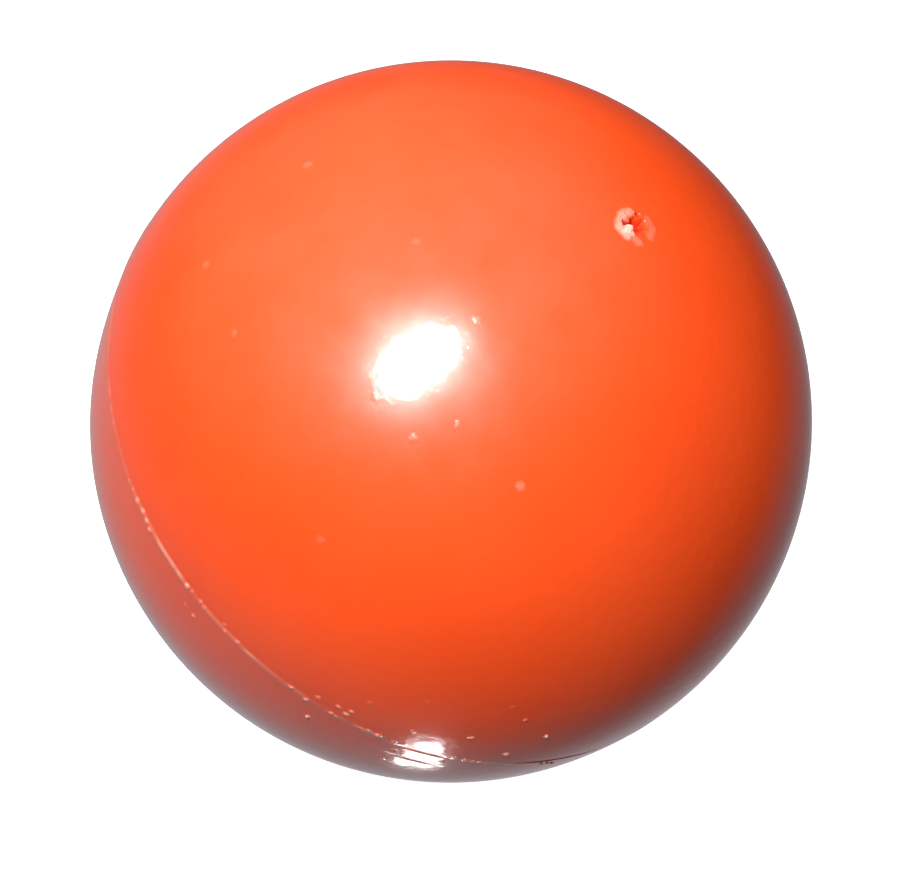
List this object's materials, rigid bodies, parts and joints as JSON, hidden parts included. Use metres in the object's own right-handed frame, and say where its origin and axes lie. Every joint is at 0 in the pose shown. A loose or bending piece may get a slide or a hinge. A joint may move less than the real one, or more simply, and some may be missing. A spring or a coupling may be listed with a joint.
{
  "type": "hollow plastic game ball",
  "caption": "Hollow ball of glossy orange moulded plastic, half shells with a tongue-and-groove weld round the equator: a miniature basketball for an amusement machine.",
  "frame": {"origin": "centre of the ball", "axes": "+Z through the pole and gate mark of the upper half shell; the seam lies in the XY plane; the ball is round about Z"},
  "size_m": [0.0384, 0.0384, 0.0384],
  "materials": {
    "shell_plastic": "glossy injection-moulded orange plastic, coloured through, with faint orange peel and fine handling marks",
    "weld_plastic": "the same plastic melted, set and trimmed, paler where the trimming strained it"
  },
  "bodies": {
    "root": {"upper_half_shell": "shell_plastic", "lower_half_shell": "shell_plastic", "weld_ring": "weld_plastic"}
  },
  "joints": []
}
